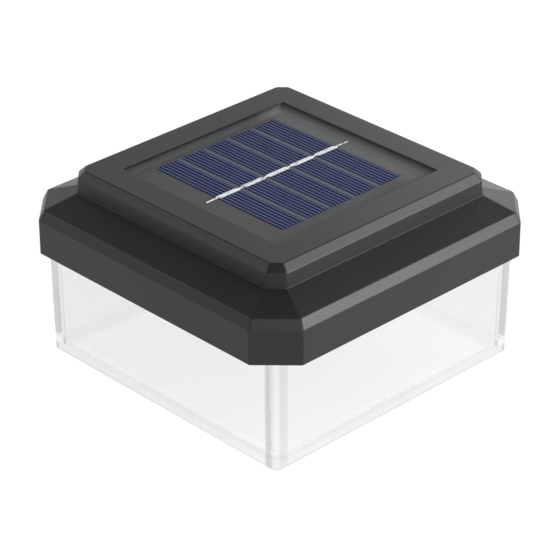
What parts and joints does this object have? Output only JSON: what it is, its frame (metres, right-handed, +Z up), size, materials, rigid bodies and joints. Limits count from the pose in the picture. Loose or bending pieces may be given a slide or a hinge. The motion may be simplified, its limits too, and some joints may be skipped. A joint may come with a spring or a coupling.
{
  "type": "deck post cap light",
  "caption": "Square black cap with stepped corner-cut profile and a recessed solar panel over a clear sleeve that slips onto a deck post and glows downward.",
  "frame": {"origin": "centre of the clear sleeve's foot, on the plane that it stands on", "axes": "+Z up, -Y the front; the solar cell strips run along X, the ribbon across them along Y"},
  "size_m": [0.13, 0.13, 0.0713],
  "materials": {
    "cap_plastic": "satin moulded black",
    "clear_acrylic": "clear moulded acrylic, polished",
    "panel_base": "dark laminate",
    "solar_cell": "blue silicon with fine silver fingers",
    "tinned_copper": "tinned, uneven",
    "clear_film": "clear film",
    "foam_tape": "foam",
    "chassis_plastic": "textured moulded black",
    "seal_rubber": "soft",
    "screw_steel": "zinc plated",
    "circuit_board": "green lacquer",
    "board_parts": "black resin",
    "switch_metal": "tinned",
    "switch_plastic": "satin moulded grey",
    "lamp_resin": "clear resin over yellow phosphor",
    "battery_sleeve": "shrink sleeve",
    "contact_steel": "nickel plated",
    "wire_red": "insulation",
    "wire_black": "insulation"
  },
  "bodies": {
    "light": {"cap_shell": "cap_plastic", "clear_sleeve": "clear_acrylic", "panel_tape": "foam_tape", "panel_board": "panel_base", "cell_1": "solar_cell", "cell_2": "solar_cell", "cell_3": "solar_cell", "cell_4": "solar_cell", "cell_5": "solar_cell", "cell_ribbon": "tinned_copper", "panel_film": "clear_film", "panel_leads": "wire_red", "chassis": "chassis_plastic", "chassis_seal": "seal_rubber", "chassis_screws": "screw_steel", "sleeve_screws": "screw_steel", "control_board": "circuit_board", "board_parts": "board_parts", "board_screws": "screw_steel", "switch_body": "switch_metal", "led_front": "lamp_resin", "led_right": "lamp_resin", "led_back": "lamp_resin", "led_left": "lamp_resin", "led_leads": "wire_black", "battery": "battery_sleeve", "battery_spring": "contact_steel", "negative_plate": "contact_steel", "positive_plate": "contact_steel", "battery_leads": "wire_black"},
    "door": {"battery_door": "chassis_plastic"},
    "knob": {"switch_knob": "switch_plastic"}
  },
  "joints": [
    {"name": "door_hinge", "type": "hinge", "parent": "light", "child": "door", "pos_m": [0, -0.03, 0.0465], "axis": [-1, 0, 0], "range_deg": [0, 95]},
    {"name": "knob_slide", "type": "slide", "parent": "light", "child": "knob", "axis": [1, 0, 0], "range_m": [0, 0.002]}
  ]
}
